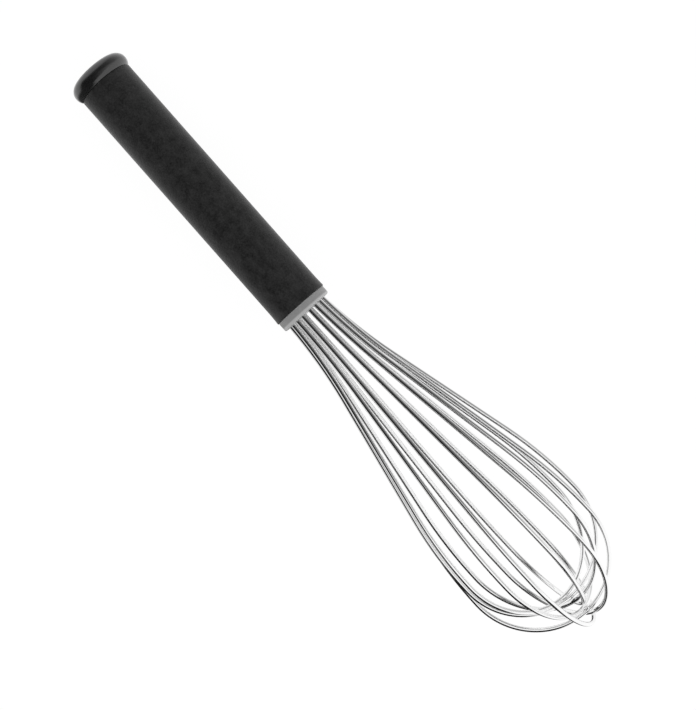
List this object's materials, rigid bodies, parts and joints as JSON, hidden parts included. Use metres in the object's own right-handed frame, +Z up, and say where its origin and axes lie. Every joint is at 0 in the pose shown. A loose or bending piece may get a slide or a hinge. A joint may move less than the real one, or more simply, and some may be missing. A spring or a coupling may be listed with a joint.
{
  "type": "balloon whisk",
  "caption": "Balloon whisk: a straight black handle with a beaded end cap, a grey wire holder in its mouth, and springy steel wire loops that cross at the tip.",
  "frame": {"origin": "on the table, under the middle of the whisk's overall box, as it lies on its end cap's bead and on the belly of two wire loops", "axes": "+X from the end cap towards the tip of the wires, +Z up from the table"},
  "size_m": [0.3478, 0.074, 0.0723],
  "materials": {
    "handle_black": "moulded black plastic with a very fine satin grain",
    "cap_black": "smooth black plastic, slightly glossier than the handle",
    "holder_grey": "smooth mid-grey moulded plastic with a soft sheen",
    "resin": "cured casting resin, hidden inside the handle",
    "wire_steel": "bright polished stainless spring wire with faint drawing marks"
  },
  "bodies": {
    "root": {"handle": "handle_black", "end_cap": "cap_black", "wire_holder": "holder_grey", "resin_core": "resin", "wire_loop_1": "wire_steel", "wire_loop_2": "wire_steel", "wire_loop_3": "wire_steel", "wire_loop_4": "wire_steel", "wire_loop_5": "wire_steel", "wire_loop_6": "wire_steel", "wire_loop_7": "wire_steel", "wire_loop_8": "wire_steel"}
  },
  "joints": []
}
